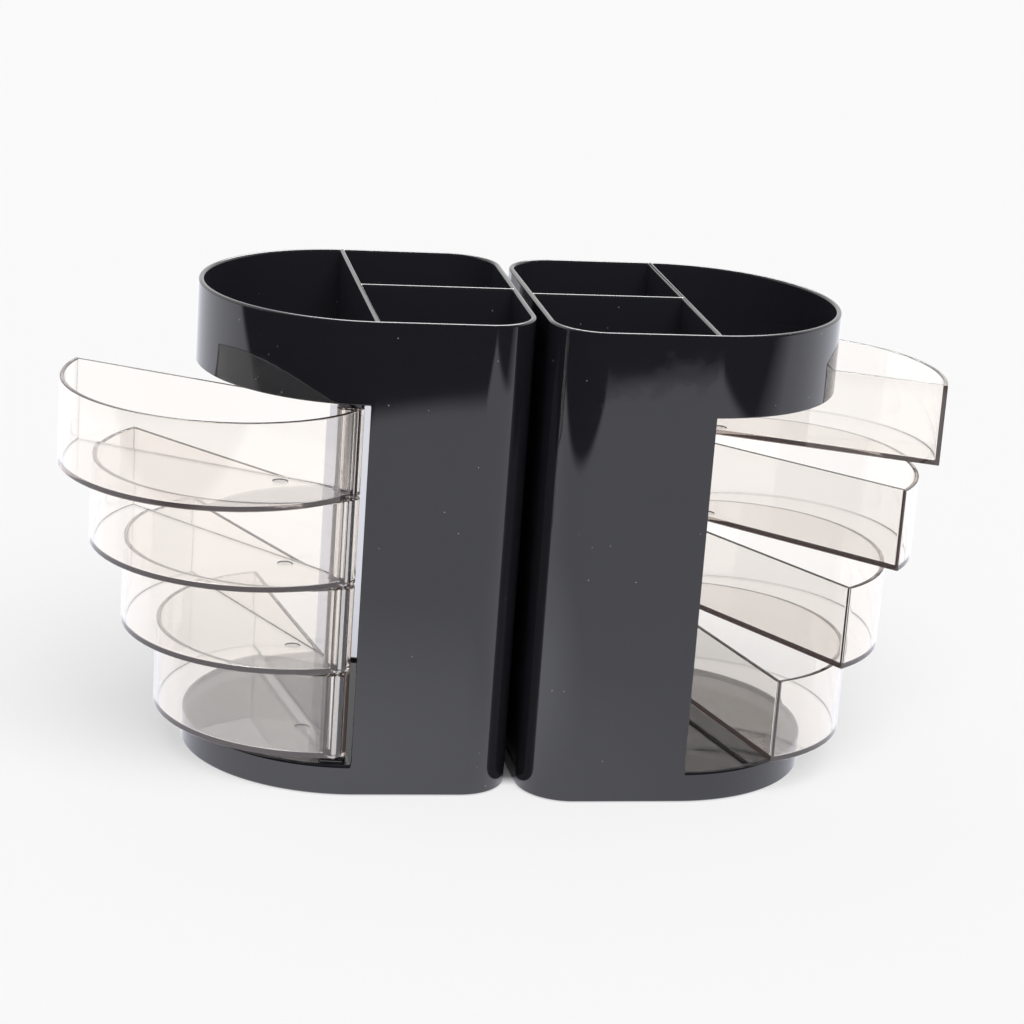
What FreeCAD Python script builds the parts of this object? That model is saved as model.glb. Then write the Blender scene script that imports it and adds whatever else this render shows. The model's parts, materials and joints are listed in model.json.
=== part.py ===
import FreeCAD, Part
import math
import os

# A pair of desk organizers that stand back to back. Millimetres, +Z up, desk top at zero.
# The origin is on the desk, in the middle of the room that the pair takes up as it stands.
# One unit is drawn in its own frame, with the centre of its round end at zero, its round end
# towards -X and its flat end towards +X.

# The unit as a whole
ring_radius = 42.0         # round end, which is also half of the width
flat_reach = 41.1          # from the centre of the round end to the flat end
corner_radius = 13.5       # the two corners of the flat end
unit_height = 125.6
wall = 1.5                 # outer skin of the housing
plate = 1.6                # floors of the tray, the wells and the base

# The housing
tray_depth = 19.8          # from the rim to the round tray's floor
base_top = 8.4             # height of the base ring's top
bay_wall_face = 1.2        # the bay wall's face, on the round side of the centre
divider = 1.4              # bay wall and dividers
lip_drop = 0.8             # the base floor lies this far below its ring
edge_break = 0.5           # broken edges of the rim and the skirt
boss_radius = 3.1          # bosses that hold the rod
socket_rise = 4.5          # the rod's blind socket stands this far above the tray floor
rib = 1.2                  # stiffening ribs under the floor
rib_share = 0.52           # cross ribs, as a share of the way to the round and the flat end

# The bottom cover and its feet
cover = 1.5                # thickness of the cover
cover_clearance = 0.1      # between the cover and the skin
foot_side = 8.0            # square pads, stuck under the cover
foot_height = 1.0
foot_proud = 0.3           # what a pad stands out of the skirt
foot_inset = 9.5           # outer side of a pad from the outline

# The pivot rod
rod_radius = 1.5
rod_press = 0.02           # radial room of the rod in its bosses
rod_chamfer = 0.3

# The drawers
drawer_count = 4
drawer_setback = 0.4       # the curved wall's radius is less than the round end's by this much
drawer_shift = 1.0         # its centre lies this far from the round end's, towards the nose
drawer_flat_face = 4.25    # outer face of the flat wall, from the centre of the round end
drawer_headroom = 1.4      # over the top drawer's rim, under the tray
drawer_footroom = 1.7      # under the lowest drawer, over the base ring
drawer_gap = 0.8           # between one drawer and the next
drawer_wall = 1.2
drawer_floor = 1.2
knuckle_radius = 3.5
knuckle_inset = 1.5        # knuckle centre behind the flat wall's outer face
knuckle_bore_room = 0.05   # radial room on the rod
neck_radius = 2.2          # collar under a knuckle, which sets the gap
neck_room = 0.15           # between a collar and what it turns on

# How the pair stands
pair_gap = 2.1             # between the flat ends
pair_step = 4.05           # the units are this far out of line
right_turn_deg = 180.7
left_open_deg = (58.5, 40.4, 25.2, 10.7)    # top drawer first
right_open_deg = (64.0, 44.9, 29.9, 15.1)

# Places that follow from the sizes above
skirt_bottom = foot_proud
deck_top = base_top - lip_drop
deck_underside = deck_top - plate
cover_bottom = foot_height
cover_top = cover_bottom + cover
tray_floor = unit_height - tray_depth
tray_underside = tray_floor - plate
drawer_radius = ring_radius - drawer_setback
pivot_x = -drawer_flat_face - knuckle_inset
pivot_reach = drawer_radius - knuckle_radius
pivot_y = -math.sqrt(pivot_reach ** 2 - (pivot_x + drawer_shift) ** 2)
drawer_top = tray_underside - drawer_headroom     # rim of the top drawer
lowest_drawer = base_top + drawer_footroom        # underside of the lowest one
drawer_pitch = (drawer_top - lowest_drawer + drawer_gap) / drawer_count
drawer_height = drawer_pitch - drawer_gap
rod_top = tray_floor + socket_rise - plate
past = ring_radius         # overrun of every cutting block

UP = FreeCAD.Vector(0, 0, 1)


def at(x, y, z=0):
    return FreeCAD.Vector(x, y, z)


def cylinder(x, y, bottom, top, radius):
    return Part.makeCylinder(radius, top - bottom, at(x, y, bottom), UP)


def block(x_low, x_high, y_low, y_high, bottom, top):
    return Part.makeBox(x_high - x_low, y_high - y_low, top - bottom, at(x_low, y_low, bottom))


def prism(edges, bottom, top):
    wire = Part.Wire([edge.toShape() for edge in edges])
    face = Part.Face(wire)
    face.translate(at(0, 0, bottom))
    return face.extrude(at(0, 0, top - bottom))


def corner_arc(x, y, radius, start_deg):
    # A quarter turn about x, y, counterclockwise from start_deg.
    points = [at(x + radius * math.cos(math.radians(start_deg + turn)),
                 y + radius * math.sin(math.radians(start_deg + turn)))
              for turn in (0, 45, 90)]
    return Part.Arc(*points)


def unit_prism(inset, bottom, top):
    # The D-shaped outline, drawn in by inset all round.
    radius = ring_radius - inset
    corner = corner_radius - inset
    reach = flat_reach - inset
    corner_x = reach - corner
    corner_y = radius - corner
    return prism([
        Part.Arc(at(0, radius), at(-radius, 0), at(0, -radius)),
        Part.LineSegment(at(0, -radius), at(corner_x, -radius)),
        corner_arc(corner_x, -corner_y, corner, 270),
        Part.LineSegment(at(reach, -corner_y), at(reach, corner_y)),
        corner_arc(corner_x, corner_y, corner, 0),
        Part.LineSegment(at(corner_x, radius), at(0, radius)),
    ], bottom, top)


def round_side(inset, bottom, top):
    # The part of the outline on the drawers' side of the bay wall.
    keep = block(-ring_radius - past, -bay_wall_face, -ring_radius - past, ring_radius + past,
                 bottom, top)
    return unit_prism(inset, bottom, top).common(keep)


def well(side):
    # One pen well: the outline between the bay wall, the short divider and the skin.
    low_y, high_y = sorted((side * divider / 2, side * (ring_radius + past)))
    keep = block(divider - bay_wall_face, flat_reach + past, low_y, high_y, deck_top, unit_height)
    return unit_prism(wall, deck_top, unit_height).common(keep)


def foot_places():
    # Two feet near the flat end's corners and two on the round end, at 45 degrees.
    round_reach = (ring_radius - foot_inset - foot_side / 2) / math.sqrt(2)
    flat_x = flat_reach - foot_inset
    flat_y = ring_radius - foot_inset - foot_side / 2
    return [(-round_reach, -round_reach), (-round_reach, round_reach),
            (flat_x, -flat_y), (flat_x, flat_y)]


def level_edges(shape, height):
    return [edge for edge in shape.Edges
            if abs(edge.BoundBox.ZMin - height) + abs(edge.BoundBox.ZMax - height) < edge_break]


def housing():
    shape = unit_prism(0, skirt_bottom, unit_height)
    rims = level_edges(shape, unit_height) + level_edges(shape, skirt_bottom)
    shape = shape.makeChamfer(edge_break, rims)
    bay = block(-ring_radius - past, -bay_wall_face, -ring_radius - past, ring_radius + past,
                base_top, tray_underside)
    shape = shape.cut(bay)
    shape = shape.cut(round_side(wall, deck_top, base_top))
    shape = shape.cut(round_side(wall, tray_floor, unit_height))
    for side in (-1, 1):
        shape = shape.cut(well(side))
    shape = shape.cut(unit_prism(wall, skirt_bottom, deck_underside))
    for added in underside_ribs() + rod_bosses():
        shape = shape.fuse(added)
    shape = shape.cut(cylinder(pivot_x, pivot_y, cover_top, rod_top, rod_radius + rod_press))
    return shape.removeSplitter()


def underside_ribs():
    inside = unit_prism(wall, cover_top, deck_underside)
    long_rib = block(-ring_radius, flat_reach, -rib / 2, rib / 2, cover_top, deck_underside)
    ribs = [long_rib]
    for x in (-ring_radius * rib_share, 0, flat_reach * rib_share):
        ribs.append(block(x - rib / 2, x + rib / 2, -ring_radius, ring_radius,
                          cover_top, deck_underside))
    return [piece.common(inside) for piece in ribs]


def rod_bosses():
    # Under the base floor, on it, under the tray, and the blind socket in the tray's corner.
    inside = round_side(0, cover_top, unit_height)
    bosses = [
        cylinder(pivot_x, pivot_y, cover_top, deck_underside, boss_radius),
        cylinder(pivot_x, pivot_y, deck_top, lowest_drawer - drawer_gap, knuckle_radius),
        cylinder(pivot_x, pivot_y, drawer_top + neck_room, tray_underside, knuckle_radius),
        cylinder(pivot_x, pivot_y, tray_floor, tray_floor + socket_rise, boss_radius),
    ]
    return [boss.common(inside) for boss in bosses]


def bottom_cover():
    return unit_prism(wall + cover_clearance, cover_bottom, cover_top)


def feet():
    half = foot_side / 2
    return Part.makeCompound([block(x - half, x + half, y - half, y + half, 0, foot_height)
                              for x, y in foot_places()])


def pivot_rod():
    rod = cylinder(pivot_x, pivot_y, cover_top, rod_top, rod_radius)
    ends = [edge for edge in rod.Edges if edge.Closed]
    return rod.makeChamfer(rod_chamfer, ends)


def drawer_prism(inset, bottom, top):
    # A closed drawer's outline, drawn in by inset: a flat wall and a curved wall.
    radius = drawer_radius - inset
    flat_x = -drawer_flat_face - inset
    half_chord = math.sqrt(radius ** 2 - (flat_x + drawer_shift) ** 2)
    return prism([
        Part.Arc(at(flat_x, half_chord), at(-drawer_shift - radius, 0), at(flat_x, -half_chord)),
        Part.LineSegment(at(flat_x, -half_chord), at(flat_x, half_chord)),
    ], bottom, top)


def drawer(level, open_deg):
    # level 0 is the top drawer. It is drawn closed and then swung open about the rod.
    top = drawer_top - level * drawer_pitch
    bottom = top - drawer_height
    floor_top = bottom + drawer_floor
    shape = drawer_prism(0, bottom, top)
    sharp_corner = block(pivot_x, past, pivot_y - past, pivot_y, bottom, top)
    shape = shape.cut(sharp_corner)
    shape = shape.cut(drawer_prism(drawer_wall, floor_top, top))
    neck_bottom = bottom - drawer_gap + neck_room
    shape = shape.fuse(cylinder(pivot_x, pivot_y, bottom, top, knuckle_radius))
    shape = shape.fuse(cylinder(pivot_x, pivot_y, neck_bottom, bottom, neck_radius))
    shape = shape.cut(cylinder(pivot_x, pivot_y, neck_bottom, top, rod_radius + knuckle_bore_room))
    shape = shape.removeSplitter()
    shape.rotate(at(pivot_x, pivot_y), UP, open_deg)
    return shape


def unit_pieces(open_deg):
    pieces = {
        "housing": housing(),
        "bottom_cover": bottom_cover(),
        "feet": feet(),
        "pivot_rod": pivot_rod(),
    }
    for level in range(drawer_count):
        pieces["drawer_%d" % (level + 1)] = drawer(level, open_deg[level])
    return pieces


def stand(shape, turn_deg, x, y):
    shape.rotate(at(0, 0), UP, turn_deg)
    shape.translate(at(x, y))
    return shape


def whole_pair():
    half_reach = flat_reach + pair_gap / 2
    nodes = {}
    for name, shape in unit_pieces(left_open_deg).items():
        nodes["left_" + name] = stand(shape, 0, -half_reach, pair_step / 2)
    for name, shape in unit_pieces(right_open_deg).items():
        nodes["right_" + name] = stand(shape, right_turn_deg, half_reach, -pair_step / 2)
    return nodes


nodes = whole_pair()
middle = Part.makeCompound(list(nodes.values())).BoundBox.Center
os.makedirs("parts", exist_ok=True)
for name, shape in nodes.items():
    shape.translate(at(-middle.x, -middle.y))
    shape.exportStep(os.path.join("parts", name + ".step"))
    print(name, len(shape.Solids), "solid(s)", round(shape.Volume), "mm3")
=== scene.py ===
import json
from math import acos, asin, atan2, cos, degrees, pi, radians, sin, sqrt

import bmesh
import bpy
from mathutils import Matrix, Vector, geometry


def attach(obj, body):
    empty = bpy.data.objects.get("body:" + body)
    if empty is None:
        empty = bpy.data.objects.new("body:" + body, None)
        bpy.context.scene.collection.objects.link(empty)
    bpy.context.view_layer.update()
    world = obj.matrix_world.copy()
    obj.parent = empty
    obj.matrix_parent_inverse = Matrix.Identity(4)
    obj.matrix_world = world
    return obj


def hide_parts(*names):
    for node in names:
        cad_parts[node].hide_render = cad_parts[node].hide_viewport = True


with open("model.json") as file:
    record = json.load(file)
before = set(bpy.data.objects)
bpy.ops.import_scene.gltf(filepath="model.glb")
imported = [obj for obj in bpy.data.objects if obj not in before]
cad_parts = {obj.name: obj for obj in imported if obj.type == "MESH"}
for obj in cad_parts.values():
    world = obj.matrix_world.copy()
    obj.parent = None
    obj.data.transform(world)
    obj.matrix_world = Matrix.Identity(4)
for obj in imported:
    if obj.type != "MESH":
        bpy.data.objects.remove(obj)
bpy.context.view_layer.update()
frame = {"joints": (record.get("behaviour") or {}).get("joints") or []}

# Two desk organizers back to back. Each unit is drawn in mm in its own frame, with the centre
# of its round end at zero and the flat end towards +X, and then put where the frame has it.

scene = bpy.context.scene
mm = 0.001
near = 0.1                   # mm within which a point counts as lying on a face
sides = ("left", "right")
unitTurn = {"left": 0.0, "right": 180.7}     # degrees, seen from above

unit = {
    "ringRadius": 42.0,
    "flatReach": 41.1,
    "cornerRadius": 13.5,
    "height": 125.6,
    "skirtBottom": 0.3,
    "wall": 1.5,
    "bayFace": -1.2,         # plane of the bay wall's face
    "overrun": 5.0,          # by which the boxes that cut the plan reach past it
    "ringSteps": 120,        # facets of the half round
    "cornerSteps": 30,       # facets of one corner
}

pivot = {
    "x": -5.75,
    "curveX": -1.0,          # centre of the drawers' curved walls
    "reach": 38.1,           # from that centre to the rod
    "boss": 3.5,
    "socket": 3.1,
    "steps": 56,
}
pivot["y"] = -sqrt(pivot["reach"] ** 2 - (pivot["x"] - pivot["curveX"]) ** 2)


def hingeOf(side, level):
    name = "%s_drawer_%d_swing" % (side, level)
    return next(joint for joint in frame["joints"] if joint["name"] == name)


def unitPlace(side):
    # The rod stands where the frame's hinges are; the rest of the unit follows from it.
    x, y, _ = hingeOf(side, 1)["pos_m"]
    turn = Matrix.Rotation(radians(unitTurn[side]), 4, "Z")
    toRod = turn @ Vector((pivot["x"] * mm, pivot["y"] * mm, 0))
    return Matrix.Translation(Vector((x, y, 0)) - toRod) @ turn @ Matrix.Scale(mm, 4)


def restAngle(side, level):
    # How far a drawer stands open at rest: its hinge may close by just that much.
    return -hingeOf(side, level)["range_deg"][0]


def arcPoints(x, y, radius, start, end, steps):
    turns = [radians(start + (end - start) * i / steps) for i in range(steps + 1)]
    return [(x + radius * cos(t), y + radius * sin(t)) for t in turns]


def circlePoints(x, y, radius, steps):
    return arcPoints(x, y, radius, 0, 360, steps)[:-1]


def boxPoints(lowX, highX, lowY, highY):
    return [(lowX, lowY), (highX, lowY), (highX, highY), (lowX, highY)]


def unitOutline(inset):
    # The D seen from above, drawn in by inset all round. The half round has a corner where the
    # bay wall's face cuts it, so that no sliver is left there.
    radius = unit["ringRadius"] - inset
    corner = unit["cornerRadius"] - inset
    reach = unit["flatReach"] - inset
    x, y = reach - corner, radius - corner
    cut = degrees(asin(unit["bayFace"] / radius))
    return ([(0, radius)] + arcPoints(0, 0, radius, 90 - cut, 270 + cut, unit["ringSteps"])
            + [(0, -radius)]
            + arcPoints(x, -y, corner, 270, 360, unit["cornerSteps"])
            + arcPoints(x, y, corner, 0, 90, unit["cornerSteps"]))


# Moulded bodies are built in layers. Outlines seen from above cut the plan into cells, a rule
# says between which heights each cell is solid, and all faces share their corners.

layering = {
    "cellKind": 4,           # cells as valid faces, with extra edges where they need them
    "sameCorner": 1e-5,      # mm
    "sameFace": 0.1,         # degrees between faces that become one
}


def planCells(outlines):
    points, loops = [], []
    for loop in outlines.values():
        loops.append(list(range(len(points), len(points) + len(loop))))
        points += [Vector(p) for p in loop]
    corners, _, cells, _, _, holders = geometry.delaunay_2d_cdt(
        points, [], loops, layering["cellKind"], layering["sameCorner"])
    names = list(outlines)
    return corners, [(cell, {names[h] for h in held}) for cell, held in zip(cells, holders)]


def layeredBody(outlines, solidSpans):
    corners, cells = planCells(outlines)
    spans = [solidSpans(held) for _, held in cells]
    levels = sorted({z for cellSpans in spans for span in cellSpans for z in span})
    slabs = [(low + high) / 2 for low, high in zip(levels, levels[1:])]
    filled = [[any(a < z < b for a, b in cellSpans) for z in slabs] for cellSpans in spans]
    nothing = [False] * len(slabs)

    body = bmesh.new()
    made = {}

    def vertex(corner, level):
        key = (corner, level)
        if key not in made:
            made[key] = body.verts.new((*corners[corner], levels[level]))
        return made[key]

    # Lids lie between a full and an empty layer, walls between a full and an empty cell.
    beside, lids, walls = {}, [], []
    for index, (cell, _) in enumerate(cells):
        for a, b in zip(cell, cell[1:] + cell[:1]):
            beside[(a, b)] = index
        for level in range(len(levels)):
            under = level > 0 and filled[index][level - 1]
            over = level < len(slabs) and filled[index][level]
            if under != over:
                lids.append((level, cell if under else cell[::-1]))
    for (a, b), index in beside.items():
        other = beside.get((b, a))
        across = filled[other] if other is not None else nothing
        bare = [mine and not theirs for mine, theirs in zip(filled[index], across)]
        for level, (before, after) in enumerate(zip([False] + bare, bare + [False])):
            if after and not before:
                start = level
            if before and not after:
                walls.append((a, b, start, level))
    needed = {(c, level) for level, ring in lids for c in ring}
    for a, b, low, high in walls:
        needed |= {(a, low), (b, low), (a, high), (b, high)}
    for level, ring in lids:
        body.faces.new([vertex(c, level) for c in ring])
    for a, b, low, high in walls:
        heights = range(low, high + 1)
        body.faces.new([vertex(b, z) for z in heights if (b, z) in needed]
                       + [vertex(a, z) for z in reversed(heights) if (a, z) in needed])
    body.normal_update()
    bmesh.ops.dissolve_limit(body, angle_limit=radians(layering["sameFace"]),
                             verts=body.verts, edges=body.edges)
    return body


softening = {
    "sharper": 35,           # an edge that turns by more degrees is sharp
    "profile": 0.5,          # a round one
    "weld": 0.002,           # mm
    "normalWeight": 90,      # how far large faces outweigh small ones in the shading
}


def softenEdges(body, width, steps, wanted=lambda at: True):
    # Rounds every sharp edge whose middle is wanted, outside and inside corners alike.
    edges = [e for e in body.edges
             if len(e.link_faces) == 2 and degrees(e.calc_face_angle(0)) > softening["sharper"]
             and wanted((e.verts[0].co + e.verts[1].co) / 2)]
    bmesh.ops.bevel(body, geom=edges, offset=width, offset_type="OFFSET", segments=steps,
                    profile=softening["profile"], affect="EDGES", clamp_overlap=False,
                    loop_slide=True)
    bmesh.ops.remove_doubles(body, verts=body.verts, dist=softening["weld"])


def finishPiece(body, name, place, material, carrier, node):
    # Turns the built body into an object that rides on its CAD body and stands for its node.
    bmesh.ops.recalc_face_normals(body, faces=body.faces)
    mesh = bpy.data.meshes.new(name)
    body.to_mesh(mesh)
    body.free()
    mesh.transform(place)
    mesh.shade_smooth()
    mesh.materials.append(material)
    piece = bpy.data.objects.new(name, mesh)
    scene.collection.objects.link(piece)
    even = piece.modifiers.new("evenNormals", "WEIGHTED_NORMAL")
    even.mode = "FACE_AREA"
    even.weight = softening["normalWeight"]
    even.keep_sharp = True
    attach(piece, carrier)
    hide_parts(node)
    return piece


# Materials

def linear(hexText):
    # An sRGB hex colour as Blender's linear red, green, blue and alpha.
    parts = [int(hexText[i:i + 2], 16) / 255 for i in (1, 3, 5)]
    return [p / 12.92 if p <= 0.04045 else ((p + 0.055) / 1.055) ** 2.4 for p in parts] + [1.0]


def addNode(tree, kind, inputs=None, **settings):
    # inputs maps a socket's name or number to a value, to another node's output, or to another
    # node, which stands for its first output in use.
    made = tree.nodes.new(kind)
    for key, value in settings.items():
        setattr(made, key, value)
    for key, value in (inputs or {}).items():
        if isinstance(value, bpy.types.Node):
            value = next(output for output in value.outputs if output.enabled)
        if isinstance(value, bpy.types.NodeSocket):
            tree.links.new(value, made.inputs[key])
        else:
            made.inputs[key].default_value = value
    return made


def newMaterial(name):
    material = bpy.data.materials.new(name)
    material.use_nodes = True
    material.node_tree.nodes.clear()
    return material, material.node_tree


def inMillimetres(tree, stretch=(1, 1, 1)):
    place = addNode(tree, "ShaderNodeTexCoord").outputs["Object"]
    return addNode(tree, "ShaderNodeMapping", {
        "Vector": place, "Scale": [s / mm for s in stretch]})


glossBlack = {
    "colour": "#18181C",
    "paintedWellGlare": "#25252A",   # the same black painted lighter in the tray and the pen wells, as painted glare
    "dust": "#8C8C90",
    "ior": 1.59,             # polystyrene
    "polish": 0.045,         # roughness of the clean moulded skin
    "smudge": 0.16,          # roughness where it was touched
    "smudgeSize": 17.0,      # mm
    "smudgeDetail": 5.0,
    "smudgeRaggedness": 0.62,
    "smudgeRange": (0.56, 0.74),   # noise levels at which a touch mark starts and is full
    "speckSpacing": 5.0,     # mm between dust specks
    "speckSize": 0.2,        # mm
    "speckCore": 0.6,        # the part of a speck that is fully pale
    "waveSize": 30.0,        # mm, the faint swell of a moulded wall
    "waveDetail": 1.0,
    "waveHeight": 0.05,      # mm
}


def glossBlackPolystyrene():
    # Injection-moulded polystyrene from a polished mould: deep black that mirrors the studio,
    # with a faint swell, a few touch marks and single specks of dust.
    material, tree = newMaterial("glossBlackPolystyrene")
    place = inMillimetres(tree)
    touched = addNode(tree, "ShaderNodeTexNoise", {
        "Vector": place, "Scale": 1 / glossBlack["smudgeSize"],
        "Detail": glossBlack["smudgeDetail"], "Roughness": glossBlack["smudgeRaggedness"]})
    smudges = addNode(tree, "ShaderNodeMapRange", {
        "Value": touched, "From Min": glossBlack["smudgeRange"][0],
        "From Max": glossBlack["smudgeRange"][1],
        "To Min": glossBlack["polish"], "To Max": glossBlack["smudge"]})
    cells = addNode(tree, "ShaderNodeTexVoronoi", {
        "Vector": place, "Scale": 1 / glossBlack["speckSpacing"], "Randomness": 1.0})
    speckEdge = glossBlack["speckSize"] / glossBlack["speckSpacing"]
    specks = addNode(tree, "ShaderNodeMapRange", {
        "Value": cells, "From Min": speckEdge, "From Max": speckEdge * glossBlack["speckCore"]})
    # Painted light: the skin in the tray and the pen wells is a lighter black, a painted glare.
    inWells = addNode(tree, "ShaderNodeAttribute", attribute_name="inWells")
    glaredBlack = addNode(tree, "ShaderNodeMix", {
        "Factor": inWells.outputs["Fac"], "A": linear(glossBlack["colour"]),
        "B": linear(glossBlack["paintedWellGlare"])}, data_type="RGBA")
    colour = addNode(tree, "ShaderNodeMix", {
        "Factor": specks, "A": glaredBlack, "B": linear(glossBlack["dust"])}, data_type="RGBA")
    swell = addNode(tree, "ShaderNodeTexNoise", {
        "Vector": place, "Scale": 1 / glossBlack["waveSize"], "Detail": glossBlack["waveDetail"]})
    bump = addNode(tree, "ShaderNodeBump", {
        "Height": swell, "Strength": 1.0, "Distance": glossBlack["waveHeight"] * mm})
    shader = addNode(tree, "ShaderNodeBsdfPrincipled", {
        "Base Color": colour, "Roughness": smudges, "IOR": glossBlack["ior"], "Normal": bump})
    addNode(tree, "ShaderNodeOutputMaterial", {"Surface": shader})
    return material


smokeClear = {
    "ior": 1.59,
    "roughness": 0.015,
    "rubbed": 0.06,          # roughness of the rubbed patches
    "rubSize": 12.0,         # mm
    "rubDetail": 6.0,
    "rubRaggedness": 0.7,
    "rubRange": (0.6, 0.78),       # noise levels at which a rubbed patch starts and is full
    "gateDull": 0.2,         # roughness of the gate mark's cut face
    "tint": "#FFFDFB",       # of the light that passes one wall
    "absorbColour": "#E6E2DF",
    "absorbDensity": 150.0,  # per metre
    "hazeGlow": "#8C7F80",       # a painted glow that stands for the light the smoke scatters inside long edges
    "hazeGlowLevel": 11.0,       # per metre
}


def smokeClearPolystyrene():
    # Clear general-purpose polystyrene with a light smoke tint: almost colourless through one
    # wall, brown along the edges, where the eye looks through a long stretch of it and a painted
    # glow adds to it.
    material, tree = newMaterial("smokeClearPolystyrene")
    rubs = addNode(tree, "ShaderNodeTexNoise", {
        "Vector": inMillimetres(tree), "Scale": 1 / smokeClear["rubSize"],
        "Detail": smokeClear["rubDetail"], "Roughness": smokeClear["rubRaggedness"]})
    rough = addNode(tree, "ShaderNodeMapRange", {
        "Value": rubs, "From Min": smokeClear["rubRange"][0], "From Max": smokeClear["rubRange"][1],
        "To Min": smokeClear["roughness"], "To Max": smokeClear["rubbed"]})
    gateMark = addNode(tree, "ShaderNodeAttribute", attribute_name="gateMark")
    dull = addNode(tree, "ShaderNodeMix", {
        "Factor": gateMark.outputs["Fac"], "A": rough, "B": smokeClear["gateDull"]},
        data_type="FLOAT")
    shader = addNode(tree, "ShaderNodeBsdfPrincipled", {
        "Base Color": linear(smokeClear["tint"]), "Roughness": dull, "IOR": smokeClear["ior"],
        "Transmission Weight": 1.0})
    inside = addNode(tree, "ShaderNodeVolumeAbsorption", {
        "Color": linear(smokeClear["absorbColour"]), "Density": smokeClear["absorbDensity"]})
    # Painted light: the smoke glows by itself, in place of the light it scatters inside long edges.
    hazeGlow = addNode(tree, "ShaderNodeEmission", {
        "Color": linear(smokeClear["hazeGlow"]), "Strength": smokeClear["hazeGlowLevel"]})
    smoke = addNode(tree, "ShaderNodeAddShader", {0: inside, 1: hazeGlow})
    addNode(tree, "ShaderNodeOutputMaterial", {"Surface": shader, "Volume": smoke})
    return material


polishedSteel = {
    "colour": "#C4C5C8",
    "roughness": 0.14,
    "roughSpread": 0.3,      # share by which the lines change that
    "drawnLine": 0.08,       # mm between the lines that drawing leaves along the rod
    "lineStretch": 0.02,     # how little they change along it
    "lineDetail": 2.0,
    "lineRange": (0.3, 0.7),       # noise levels of the smoothest and the roughest line
    "lineHeight": 0.0006,    # mm
}


def polishedSteelRod():
    # Drawn and polished steel: a bright grey mirror with hair lines along its length.
    material, tree = newMaterial("polishedSteelRod")
    lines = addNode(tree, "ShaderNodeTexNoise", {
        "Vector": inMillimetres(tree, (1, 1, polishedSteel["lineStretch"])),
        "Scale": 1 / polishedSteel["drawnLine"],
        "Detail": polishedSteel["lineDetail"]})
    bump = addNode(tree, "ShaderNodeBump", {
        "Height": lines, "Strength": 1.0, "Distance": polishedSteel["lineHeight"] * mm})
    rough = addNode(tree, "ShaderNodeMapRange", {
        "Value": lines, "From Min": polishedSteel["lineRange"][0],
        "From Max": polishedSteel["lineRange"][1],
        "To Min": polishedSteel["roughness"] * (1 - polishedSteel["roughSpread"]),
        "To Max": polishedSteel["roughness"] * (1 + polishedSteel["roughSpread"])})
    shader = addNode(tree, "ShaderNodeBsdfPrincipled", {
        "Base Color": linear(polishedSteel["colour"]), "Metallic": 1.0, "Roughness": rough,
        "Normal": bump})
    addNode(tree, "ShaderNodeOutputMaterial", {"Surface": shader})
    return material


mattBlack = {
    "colour": "#161618",
    "ior": 1.54,
    "roughness": 0.55,
    "roughSpread": 0.08,
    "grain": 0.5,            # mm, drawn coarser than the real 0.2 so that it shows
    "grainDetail": 3.0,
    "grainHeight": 0.03,     # mm
}


def mattBlackAbs():
    # ABS moulded against a spark-eroded face: an even, fine-grained dull black.
    material, tree = newMaterial("mattBlackAbs")
    grain = addNode(tree, "ShaderNodeTexNoise", {
        "Vector": inMillimetres(tree), "Scale": 1 / mattBlack["grain"],
        "Detail": mattBlack["grainDetail"]})
    bump = addNode(tree, "ShaderNodeBump", {
        "Height": grain, "Strength": 1.0, "Distance": mattBlack["grainHeight"] * mm})
    rough = addNode(tree, "ShaderNodeMapRange", {
        "Value": grain, "To Min": mattBlack["roughness"] - mattBlack["roughSpread"],
        "To Max": mattBlack["roughness"] + mattBlack["roughSpread"]})
    shader = addNode(tree, "ShaderNodeBsdfPrincipled", {
        "Base Color": linear(mattBlack["colour"]), "IOR": mattBlack["ior"], "Roughness": rough,
        "Normal": bump})
    addNode(tree, "ShaderNodeOutputMaterial", {"Surface": shader})
    return material


padRubber = {
    "colour": "#1D1C1B",
    "ior": 1.52,
    "roughness": 0.8,
    "roughSpread": 0.1,
    "pore": 0.4,             # mm
    "poreDetail": 4.0,
    "poreDepth": 0.05,       # mm
}


def blackPadRubber():
    # Die-cut rubber sheet: dull, slightly porous, a warmer black than the plastic.
    material, tree = newMaterial("blackPadRubber")
    pores = addNode(tree, "ShaderNodeTexNoise", {
        "Vector": inMillimetres(tree), "Scale": 1 / padRubber["pore"],
        "Detail": padRubber["poreDetail"]})
    bump = addNode(tree, "ShaderNodeBump", {
        "Height": pores, "Strength": 1.0, "Distance": padRubber["poreDepth"] * mm})
    rough = addNode(tree, "ShaderNodeMapRange", {
        "Value": pores, "To Min": padRubber["roughness"] - padRubber["roughSpread"],
        "To Max": padRubber["roughness"] + padRubber["roughSpread"]})
    shader = addNode(tree, "ShaderNodeBsdfPrincipled", {
        "Base Color": linear(padRubber["colour"]), "IOR": padRubber["ior"], "Roughness": rough,
        "Normal": bump})
    addNode(tree, "ShaderNodeOutputMaterial", {"Surface": shader})
    return material


print("materials")
glossBlackSkin = glossBlackPolystyrene()
smokeClearWall = smokeClearPolystyrene()
steelRod = polishedSteelRod()
coverBlack = mattBlackAbs()
padBlack = blackPadRubber()


# The housing: one black moulding with the tray, the pen wells, the tower and the base

housing = {
    "trayUnderside": 104.2,
    "trayFloor": 105.8,
    "baseTop": 8.4,
    "deckTop": 7.6,
    "deckUnderside": 6.0,
    "divider": 1.4,
    "bossTop": 9.3,          # boss on the deck
    "bossBottom": 102.95,    # boss under the tray
    "socketTop": 110.3,      # the rod's blind socket in the tray
    "rim": 0.6,              # rounding of the rims at the top
    "ledge": 0.9,            # of the base ring's outer edge
    "rimSteps": 4,           # facets of both
    "edge": 0.35,            # rounding of all other edges
    "edgeSteps": 3,
}


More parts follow.
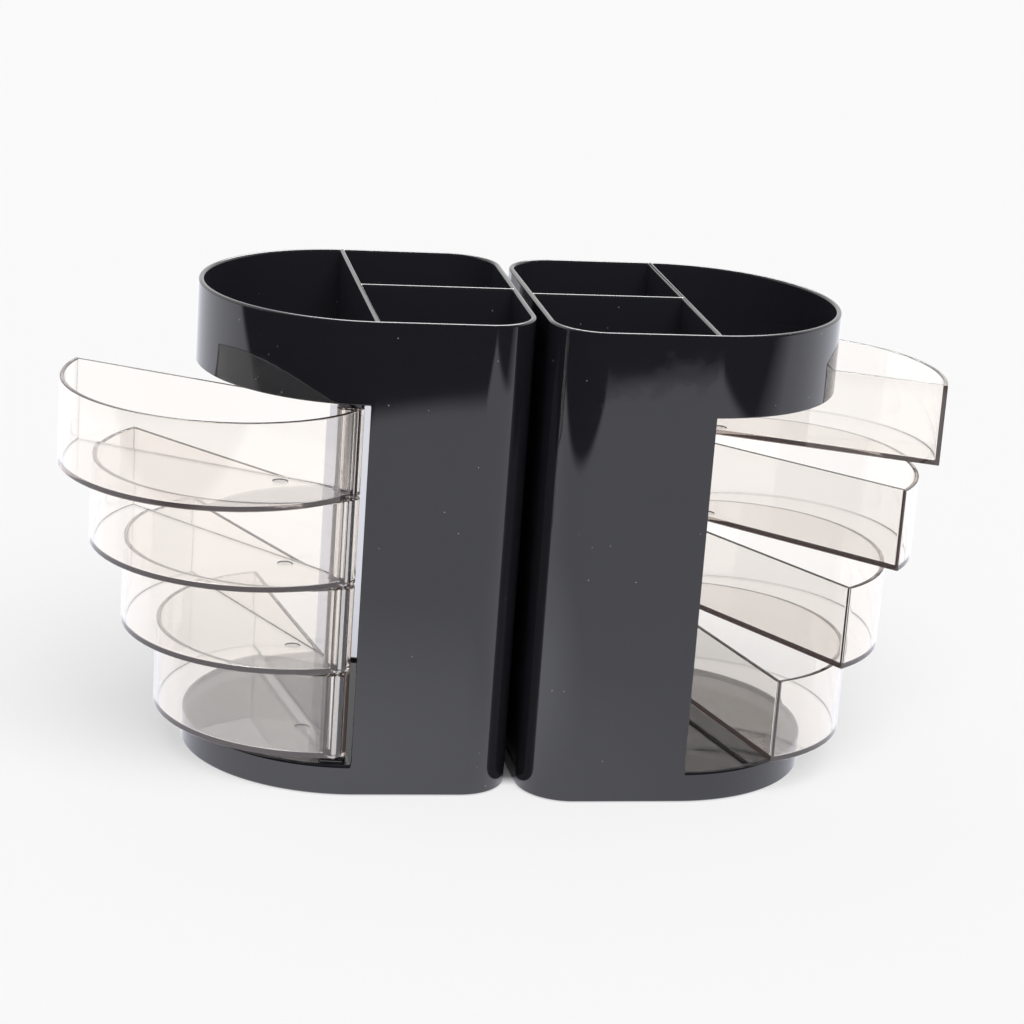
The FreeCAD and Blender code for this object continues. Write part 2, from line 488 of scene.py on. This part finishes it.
def housingSpans(held):
    top, bottom = unit["height"], unit["skirtBottom"]
    if "outer" not in held:
        return []
    if "inner" not in held:
        if "roundSide" in held:
            return [(bottom, housing["baseTop"]), (housing["trayUnderside"], top)]
        return [(bottom, top)]
    if "bayWall" in held or "shortDivider" in held:
        return [(housing["deckUnderside"], top)]
    if "roundSide" not in held:
        return [(housing["deckUnderside"], housing["deckTop"])]
    trayTop = housing["socketTop"] if "socket" in held else housing["trayFloor"]
    trayBottom = housing["bossBottom"] if "boss" in held else housing["trayUnderside"]
    deckTop = housing["bossTop"] if "boss" in held else housing["deckTop"]
    return [(housing["deckUnderside"], deckTop), (trayBottom, trayTop)]


def inWells(at):
    # Whether a point of the housing's skin faces into the tray or a pen well.
    radius, corner = unit["ringRadius"], unit["cornerRadius"]
    beyond = Vector((max(at.x - unit["flatReach"] + corner, 0),
                     max(abs(at.y) - radius + corner, 0)))
    depth = radius - at.xy.length if at.x < 0 else corner - beyond.length
    overBay = at.x < unit["bayFace"] + near
    floor = housing["trayUnderside"] if overBay else housing["deckTop"]
    return depth > unit["wall"] - near and floor + near < at.z < unit["height"] - housing["edge"]


def buildHousing(side):
    past = unit["ringRadius"] + unit["overrun"]
    wellSide = unit["bayFace"] + housing["divider"]
    body = layeredBody({
        "outer": unitOutline(0),
        "inner": unitOutline(unit["wall"]),
        "roundSide": boxPoints(-past, unit["bayFace"], -past, past),
        "bayWall": boxPoints(unit["bayFace"], wellSide, -past, past),
        "shortDivider": boxPoints(wellSide, unit["flatReach"] - unit["wall"] / 2,
                                  -housing["divider"] / 2, housing["divider"] / 2),
        "boss": circlePoints(pivot["x"], pivot["y"], pivot["boss"], pivot["steps"]),
        "socket": circlePoints(pivot["x"], pivot["y"], pivot["socket"], pivot["steps"]),
    }, housingSpans)
    softenEdges(body, housing["rim"], housing["rimSteps"], lambda at: at.z > unit["height"] - near)
    softenEdges(body, housing["ledge"], housing["rimSteps"],
                lambda at: abs(at.z - housing["baseTop"]) < near
                and at.xy.length > unit["ringRadius"] - near)
    softenEdges(body, housing["edge"], housing["edgeSteps"])
    # Faces in the tray and the pen wells get the material's painted glare.
    wells = [float(inWells(face.calc_center_median())) for face in body.faces]
    piece = finishPiece(body, side + "Housing", unitPlace(side), glossBlackSkin, "stand",
                        side + "_housing")
    piece.data.attributes.new("inWells", "FLOAT", "FACE").data.foreach_set("value", wells)
    return piece


# A drawer: a half-round tray whose flat and curved walls meet at the knuckle on the rod

drawer = {
    "count": 4,
    "radius": 41.6,          # outer face of the curved wall
    "flatFace": -4.25,       # outer face of the flat wall
    "wall": 1.2,
    "floor": 1.2,
    "top": 102.8,            # rim of the top drawer
    "bottom": 10.1,          # underside of the lowest one
    "gap": 0.8,              # between one drawer and the next
    "knuckle": 3.5,
    "bore": 1.55,
    "neck": 2.2,
    "neckDrop": 0.65,        # the collar under a knuckle
    "mark": (-8.75, -20.7),  # middle of the gate mark in the floor, drawer closed
    "markRadius": 1.95,
    "markDepth": 0.25,
    "markEdge": 0.13,
    "markSteps": 2,
    "edge": 0.3,
    "edgeSteps": 3,
    "curveSteps": 110,
    "outsideSteps": 26,      # facets of the knuckle outside the tray
    "insideSteps": 30,       # and inside it
    "holeSteps": 40,
}
drawer["pitch"] = (drawer["top"] - drawer["bottom"] + drawer["gap"]) / drawer["count"]
drawer["height"] = drawer["pitch"] - drawer["gap"]


def meetingTurn(centreX, radius, x):
    # The turn in degrees at which a circle about centreX meets the plane at x.
    return degrees(acos((x - centreX) / radius))


def drawerOutlines():
    x, y, curveX = pivot["x"], pivot["y"], pivot["curveX"]
    # The knuckle's circle goes outside the tray from the curved wall round to the flat one, and
    # then inside it.
    leave = degrees(atan2(y, x - curveX))
    meet = meetingTurn(x, drawer["knuckle"], drawer["flatFace"])
    outside = arcPoints(x, y, drawer["knuckle"], leave, meet, drawer["outsideSteps"])
    inside = arcPoints(x, y, drawer["knuckle"], meet, leave + 360, drawer["insideSteps"])

    start = meetingTurn(curveX, drawer["radius"], drawer["flatFace"])
    curve = arcPoints(curveX, 0, drawer["radius"], start, leave + 360, drawer["curveSteps"])
    inRadius = drawer["radius"] - drawer["wall"]
    inStart = meetingTurn(curveX, inRadius, drawer["flatFace"] - drawer["wall"])
    return {
        "outer": curve[:-1] + outside,
        "pocket": arcPoints(curveX, 0, inRadius, inStart, 360 - inStart, drawer["curveSteps"]),
        "knuckle": outside[:-1] + inside[:-1],
        "bore": circlePoints(x, y, drawer["bore"], drawer["holeSteps"]),
        "neck": circlePoints(x, y, drawer["neck"], drawer["holeSteps"]),
        "mark": circlePoints(*drawer["mark"], drawer["markRadius"], drawer["holeSteps"]),
    }


def buildDrawer(side, level):
    # level 1 is the top drawer. It is built closed and then swung open about the rod.
    top = drawer["top"] - (level - 1) * drawer["pitch"]
    bottom = top - drawer["height"]
    floorTop = bottom + drawer["floor"]

    def spans(held):
        if "bore" in held:
            return []
        if "knuckle" in held:
            return [(bottom - drawer["neckDrop"] if "neck" in held else bottom, top)]
        if "outer" not in held:
            return []
        if "pocket" not in held:
            return [(bottom, top)]
        return [(bottom, floorTop - drawer["markDepth"] if "mark" in held else floorTop)]

    def onMark(at):
        return (at.xy - Vector(drawer["mark"])).length < drawer["markRadius"] + near

    body = layeredBody(drawerOutlines(), spans)
    softenEdges(body, drawer["markEdge"], drawer["markSteps"], onMark)
    softenEdges(body, drawer["edge"], drawer["edgeSteps"], lambda at: not onMark(at))
    middles = [face.calc_center_median() for face in body.faces]
    cut = [float(onMark(middle) and middle.z > bottom + near) for middle in middles]
    axis = Vector((pivot["x"], pivot["y"], 0))
    swing = (Matrix.Translation(axis)
             @ Matrix.Rotation(radians(restAngle(side, level)), 4, "Z")
             @ Matrix.Translation(-axis))
    name = "%s_drawer_%d" % (side, level)
    piece = finishPiece(body, side + "Drawer" + str(level), unitPlace(side) @ swing,
                        smokeClearWall, name, name)
    piece.data.attributes.new("gateMark", "FLOAT", "FACE").data.foreach_set("value", cut)
    return piece


# The rod, the bottom cover and the pads under it

rod = {
    "radius": 1.5,
    "bottom": 2.5,
    "top": 108.7,
    "chamfer": 0.3,
    "steps": 48,
    "edge": 0.06,
    "edgeSteps": 2,
}


def buildRod(side):
    body = bmesh.new()
    rings = []
    for z, radius in ((rod["bottom"], rod["radius"] - rod["chamfer"]),
                      (rod["bottom"] + rod["chamfer"], rod["radius"]),
                      (rod["top"] - rod["chamfer"], rod["radius"]),
                      (rod["top"], rod["radius"] - rod["chamfer"])):
        points = circlePoints(pivot["x"], pivot["y"], radius, rod["steps"])
        rings.append([body.verts.new((x, y, z)) for x, y in points])
    for low, high in zip(rings, rings[1:]):
        for i in range(rod["steps"]):
            j = (i + 1) % rod["steps"]
            body.faces.new((low[i], low[j], high[j], high[i]))
    body.faces.new(rings[0][::-1])
    body.faces.new(rings[-1])
    softenEdges(body, rod["edge"], rod["edgeSteps"])
    return finishPiece(body, side + "Rod", unitPlace(side), steelRod, "stand",
                       side + "_pivot_rod")


cover = {
    "bottom": 1.0,
    "top": 2.5,
    "room": 0.1,             # between the cover and the skin
    "edge": 0.25,
    "edgeSteps": 2,
}


def buildCover(side):
    body = layeredBody({"plate": unitOutline(unit["wall"] + cover["room"])},
                       lambda held: [(cover["bottom"], cover["top"])] if held else [])
    softenEdges(body, cover["edge"], cover["edgeSteps"])
    return finishPiece(body, side + "BottomCover", unitPlace(side), coverBlack, "stand",
                       side + "_bottom_cover")


pads = {
    "side": 8.0,
    "height": 1.0,
    "inset": 9.5,            # from the outline
    "corner": 1.2,
    "cornerSteps": 6,
    "edge": 0.15,
    "edgeSteps": 2,
}


def padOutline(x, y):
    inner = pads["side"] / 2 - pads["corner"]
    points = []
    for quarter, (dx, dy) in enumerate(((1, 1), (-1, 1), (-1, -1), (1, -1))):
        points += arcPoints(x + dx * inner, y + dy * inner, pads["corner"],
                            90 * quarter, 90 * quarter + 90, pads["cornerSteps"])
    return points


def buildPads(side):
    half = pads["side"] / 2
    nose = (unit["ringRadius"] - pads["inset"] - half) / sqrt(2)
    flatX = unit["flatReach"] - pads["inset"]
    flatY = unit["ringRadius"] - pads["inset"] - half
    spots = ((-nose, -nose), (-nose, nose), (flatX, -flatY), (flatX, flatY))
    body = layeredBody({str(i): padOutline(x, y) for i, (x, y) in enumerate(spots)},
                       lambda held: [(0.0, pads["height"])] if held else [])
    softenEdges(body, pads["edge"], pads["edgeSteps"])
    return finishPiece(body, side + "Pads", unitPlace(side), padBlack, "stand",
                       side + "_feet")


for side in sides:
    print(side, "unit")
    buildHousing(side)
    buildRod(side)
    buildCover(side)
    buildPads(side)
    for level in range(1, drawer["count"] + 1):
        buildDrawer(side, level)


# Floor, light and camera. Lengths here are in metres.

studio = {
    "paper": "#F9F9F9",
    "unlit": "#000000",      # the paper's lit colour where all it shows is its own glow
    "evenShare": 0.6,        # how much of the paper's look is its own glow, free of shadow
    "throughClear": 1.17,    # its brightness through clear plastic
    "mirrorShade": 0.25,     # how much of its mirrored look is lit, and so takes shadow
    "mirrored": "#F0F1FC",   # the paper as gloss sees it, a little cooler
    "mirrorFront": 1.22,     # its brightness there, in front of the pair and behind it
    "mirrorBack": 1.55,
    "mirrorRange": (-0.2, 0.15),      # from where to where that changes
    "pool": 0.5,             # added where the light falls close to the pair
    "poolPlace": (-0.07, -0.08, 0),
    "poolRange": (0.02, 0.13),        # where it is full and where it ends
    "bowCentre": (1.212, 1.811, 0),   # the paper's front edge is a slight bow
    "bowRadius": 2.531,
    "sideWay": (0.833, -0.553, 0),    # and its right edge is square to that
    "sideEdge": 0.44,
    "sideRange": (-0.32, -0.18),      # which ends here, towards the back
    "edgeBlur": 0.012,
    "beyond": 0.05,          # brightness past the paper's edges
    "dimBeyond": 0.8,        # what is lost there to gloss that sees it through clear plastic
    "floorSize": 8.0,
    "gapPlace": -0.001,      # the gap between the units, across
    "gapHalf": (0.008, 0.006),        # half its width, to where its dark ends and is full
    "gapReach": (0.034, 0.028),       # and its reach to the front and the back, likewise
    "tent": "#FFFFFF",
    "tentFront": 0.03,       # the tent's brightness in mirrors, by the camera and behind
    "tentBack": 1.2,
    "tentRange": (-0.35, 0.25),       # from where to where that changes, on a unit sphere
    "tentShare": 0.35,       # what the tent gives matt surfaces; the lamp gives the rest
    "lampWay": (0.06, -0.55, 0.83),   # towards the lamp
    "lampSpread": 50.0,      # degrees
    "windowWay": (0.17, 0.80, 0.57),  # towards the window that gloss sees
    "windowSpread": 11.0,    # degrees
    "windowCore": 0.6,       # the part of it that is fully bright
    "windowLevel": 16.0,
}


def rayKinds(tree):
    # Rays from the eye, rays that come through clear plastic, mirrored rays, and those that come
    # through clear plastic after a mirror.
    path = addNode(tree, "ShaderNodeLightPath").outputs
    through = path["Is Transmission Ray"]
    notThrough = addNode(tree, "ShaderNodeMath", {0: 1.0, 1: through}, operation="SUBTRACT")
    mirror = addNode(tree, "ShaderNodeMath", {0: path["Is Glossy Ray"], 1: notThrough},
                     operation="MULTIPLY")
    mirroredBefore = addNode(tree, "ShaderNodeMath", {0: path["Glossy Depth"], 1: 1.0},
                             operation="MINIMUM")
    later = addNode(tree, "ShaderNodeMath", {0: through, 1: mirroredBefore},
                    operation="MULTIPLY")
    return path["Is Camera Ray"], through, mirror, later


def sheetMask(tree, place, along):
    # 1 on the pale sheet and 0 past its front and right edges.
    blur = studio["edgeBlur"]
    bow = addNode(tree, "ShaderNodeVectorMath", {0: place, 1: studio["bowCentre"]},
                  operation="DISTANCE")
    inBow = addNode(tree, "ShaderNodeMapRange", {
        "Value": bow, "From Min": studio["bowRadius"] + blur,
        "From Max": studio["bowRadius"] - blur})
    right = addNode(tree, "ShaderNodeVectorMath", {0: place, 1: studio["sideWay"]},
                    operation="DOT_PRODUCT")
    inSide = addNode(tree, "ShaderNodeMapRange", {
        "Value": right, "From Min": studio["sideEdge"] + blur,
        "From Max": studio["sideEdge"] - blur})
    farBack = addNode(tree, "ShaderNodeMapRange", {
        "Value": along, "From Min": studio["sideRange"][0], "From Max": studio["sideRange"][1]})
    sideOrBack = addNode(tree, "ShaderNodeMath", {0: inSide, 1: farBack}, operation="MAXIMUM")
    return addNode(tree, "ShaderNodeMath", {0: inBow, 1: sideOrBack}, operation="MULTIPLY")


def unitGap(tree, place):
    # 1 on the strip of floor in the narrow gap between the units, which no light reaches.
    parts = addNode(tree, "ShaderNodeSeparateXYZ", {"Vector": place}).outputs
    aside = addNode(tree, "ShaderNodeMath", {0: parts["X"], 1: studio["gapPlace"]},
                    operation="SUBTRACT")
    inside = []
    for way, (end, full) in ((aside, studio["gapHalf"]), (parts["Y"], studio["gapReach"])):
        off = addNode(tree, "ShaderNodeMath", {0: way}, operation="ABSOLUTE")
        inside.append(addNode(tree, "ShaderNodeMapRange", {
            "Value": off, "From Min": end, "From Max": full}))
    return addNode(tree, "ShaderNodeMath", {0: inside[0], 1: inside[1]}, operation="MULTIPLY")


def mirroredLevel(tree, place, along, sheet):
    # How brightly the floor glows for mirrored rays.
    slope = addNode(tree, "ShaderNodeMapRange", {
        "Value": along, "From Min": studio["mirrorRange"][0], "From Max": studio["mirrorRange"][1],
        "To Min": studio["mirrorFront"] - studio["mirrorShade"],
        "To Max": studio["mirrorBack"] - studio["mirrorShade"]})
    away = addNode(tree, "ShaderNodeVectorMath", {0: place, 1: studio["poolPlace"]},
                   operation="DISTANCE")
    pool = addNode(tree, "ShaderNodeMapRange", {
        "Value": away, "From Min": studio["poolRange"][0], "From Max": studio["poolRange"][1],
        "To Min": studio["pool"], "To Max": 0.0})
    onSheet = addNode(tree, "ShaderNodeMath", {0: slope, 1: pool}, operation="ADD")
    return addNode(tree, "ShaderNodeMix", {"Factor": sheet, "A": studio["beyond"], "B": onSheet},
                   data_type="FLOAT")


def paperGlow(tree, place, along, sheet, rays, lost):
    # What the paper seems to give off by itself, for each kind of ray.
    eye, through, mirror, _ = rays
    eyeGlow = addNode(tree, "ShaderNodeMath", {0: eye, 1: studio["evenShare"]},
                      operation="MULTIPLY")
    throughGlow = addNode(tree, "ShaderNodeMath", {
        0: through, 1: studio["throughClear"] + studio["evenShare"] - 1}, operation="MULTIPLY")
    mirrorGlow = addNode(tree, "ShaderNodeMath", {
        0: mirror, 1: mirroredLevel(tree, place, along, sheet)}, operation="MULTIPLY")
    directGlow = addNode(tree, "ShaderNodeMath", {0: eyeGlow, 1: throughGlow}, operation="ADD")
    anyGlow = addNode(tree, "ShaderNodeMath", {0: directGlow, 1: mirrorGlow}, operation="ADD")
    dark = addNode(tree, "ShaderNodeMath", {0: unitGap(tree, place), 1: lost},
                   operation="MAXIMUM")
    notDark = addNode(tree, "ShaderNodeMath", {0: 1.0, 1: dark}, operation="SUBTRACT")
    strength = addNode(tree, "ShaderNodeMath", {0: anyGlow, 1: notDark}, operation="MULTIPLY")
    hue = addNode(tree, "ShaderNodeMix", {
        "Factor": mirror, "A": linear(studio["paper"]), "B": linear(studio["mirrored"])},
        data_type="RGBA")
    return addNode(tree, "ShaderNodeEmission", {"Color": hue, "Strength": strength})


def paperMatt(tree, sheet, rays, lost):
    # The lit paper, less the share that each kind of ray sees as the paper's own glow.
    eye, through, mirror, _ = rays
    direct = addNode(tree, "ShaderNodeMath", {0: eye, 1: through}, operation="MAXIMUM")
    directShare = addNode(tree, "ShaderNodeMath", {0: direct, 1: studio["evenShare"]},
                          operation="MULTIPLY")
    shaded = addNode(tree, "ShaderNodeMath", {0: sheet, 1: studio["mirrorShade"]},
                     operation="MULTIPLY")
    unshaded = addNode(tree, "ShaderNodeMath", {0: 1.0, 1: shaded}, operation="SUBTRACT")
    mirrorShare = addNode(tree, "ShaderNodeMath", {0: mirror, 1: unshaded},
                          operation="MULTIPLY")
    anyShare = addNode(tree, "ShaderNodeMath", {0: directShare, 1: mirrorShare},
                       operation="ADD")
    share = addNode(tree, "ShaderNodeMath", {0: anyShare, 1: lost}, operation="MAXIMUM")
    colour = addNode(tree, "ShaderNodeMix", {
        "Factor": share, "A": linear(studio["paper"]), "B": linear(studio["unlit"])},
        data_type="RGBA")
    return addNode(tree, "ShaderNodeBsdfDiffuse", {"Color": colour})


def palePaper():
    # Matt paper that partly glows by itself, so that it stays pale and keeps a soft shadow.
    material, tree = newMaterial("palePaper")
    place = addNode(tree, "ShaderNodeTexCoord").outputs["Object"]
    along = addNode(tree, "ShaderNodeSeparateXYZ", {"Vector": place}).outputs["Y"]
    sheet = sheetMask(tree, place, along)
    rays = rayKinds(tree)
    offSheet = addNode(tree, "ShaderNodeMath", {0: 1.0, 1: sheet}, operation="SUBTRACT")
    laterShare = addNode(tree, "ShaderNodeMath", {0: rays[-1], 1: studio["dimBeyond"]},
                         operation="MULTIPLY")
    lost = addNode(tree, "ShaderNodeMath", {0: offSheet, 1: laterShare}, operation="MULTIPLY")
    both = addNode(tree, "ShaderNodeAddShader", {
        0: paperMatt(tree, sheet, rays, lost),
        1: paperGlow(tree, place, along, sheet, rays, lost)})
    addNode(tree, "ShaderNodeOutputMaterial", {"Surface": both})
    return material


def buildFloor():
    mesh = bpy.data.meshes.new("studioFloor")
    half = studio["floorSize"] / 2
    mesh.from_pydata([(-half, -half, 0), (half, -half, 0), (half, half, 0), (-half, half, 0)],
                     [], [(0, 1, 2, 3)])
    mesh.materials.append(palePaper())
    floor = bpy.data.objects.new("studioFloor", mesh)
    scene.collection.objects.link(floor)


def buildWorld():
    # A white tent: bright behind and beside the pair, dark where the camera stands, with a
    # window. Only gloss sees the dark side and the window; the rest is lit evenly.
    world = bpy.data.worlds.new("whiteTent")
    scene.world = world
    world.use_nodes = True
    tree = world.node_tree
    tree.nodes.clear()
    way = addNode(tree, "ShaderNodeTexCoord").outputs["Generated"]
    parts = addNode(tree, "ShaderNodeSeparateXYZ", {"Vector": way}).outputs
    back = addNode(tree, "ShaderNodeMapRange", {
        "Value": parts["Y"], "From Min": studio["tentRange"][0], "From Max": studio["tentRange"][1],
        "To Min": studio["tentFront"], "To Max": studio["tentBack"]})
    toWindow = addNode(tree, "ShaderNodeVectorMath", {
        0: way, 1: Vector(studio["windowWay"]).normalized()}, operation="DOT_PRODUCT")
    pane = addNode(tree, "ShaderNodeMapRange", {
        "Value": toWindow, "From Min": cos(radians(studio["windowSpread"])),
        "From Max": cos(radians(studio["windowSpread"] * studio["windowCore"])),
        "To Min": 0.0, "To Max": studio["windowLevel"]})
    mirrored = addNode(tree, "ShaderNodeMath", {0: back, 1: pane}, operation="ADD")
    eye, _, mirror, _ = rayKinds(tree)
    # The eye sees the tent at full brightness, and matt surfaces get a share of that.
    mattBounces = addNode(tree, "ShaderNodeLightPath").outputs["Diffuse Depth"]
    around = addNode(tree, "ShaderNodeMapRange", {
        "Value": mattBounces, "To Min": 1.0, "To Max": studio["tentShare"]})
    strength = addNode(tree, "ShaderNodeMix", {"Factor": mirror, "A": around, "B": mirrored},
                       data_type="FLOAT")
    colour = addNode(tree, "ShaderNodeMix", {
        "Factor": eye, "A": linear(studio["tent"]), "B": linear(studio["paper"])}, data_type="RGBA")
    sky = addNode(tree, "ShaderNodeBackground", {"Color": colour, "Strength": strength})
    addNode(tree, "ShaderNodeOutputWorld", {"Surface": sky})


def placeLamp():
    # One large soft lamp, high on the camera's side. With the tent it lights the floor to just
    # the brightness that its colour has.
    way = Vector(studio["lampWay"]).normalized()
    lamp = bpy.data.lights.new("softLamp", "SUN")
    lamp.angle = radians(studio["lampSpread"])
    lamp.energy = pi * (1 - studio["tentShare"]) / way.z
    holder = bpy.data.objects.new("softLamp", lamp)
    holder.matrix_world = way.to_track_quat("Z", "Y").to_matrix().to_4x4()
    holder.visible_glossy = False
    scene.collection.objects.link(holder)


view = {
    "place": (-0.14000, -0.75704, 0.29841),
    "yaw": 0.18375,          # radians to the right of +Y
    "pitch": 0.29480,        # radians down
    "roll": 0.07233,
    "lens": 105.85,          # mm
    "sensor": 36.0,          # mm
    "nearest": 0.02,
}


def placeCamera():
    yaw, pitch, roll = view["yaw"], view["pitch"], view["roll"]
    ahead = Vector((sin(yaw) * cos(pitch), cos(yaw) * cos(pitch), -sin(pitch)))
    right = Vector((cos(yaw), -sin(yaw), 0))
    up = right.cross(ahead)
    tiltedRight = right * cos(roll) + up * sin(roll)
    tiltedUp = up * cos(roll) - right * sin(roll)
    camera = bpy.data.objects.new("camera", bpy.data.cameras.new("camera"))
    camera.data.lens = view["lens"]
    camera.data.sensor_width = view["sensor"]
    camera.data.clip_start = view["nearest"]
    turn = Matrix((tiltedRight, tiltedUp, -ahead)).transposed().to_4x4()
    camera.matrix_world = Matrix.Translation(view["place"]) @ turn
    scene.collection.objects.link(camera)
    scene.camera = camera


print("studio")
buildFloor()
buildWorld()
placeLamp()
placeCamera()
scene.view_settings.view_transform = "Standard"
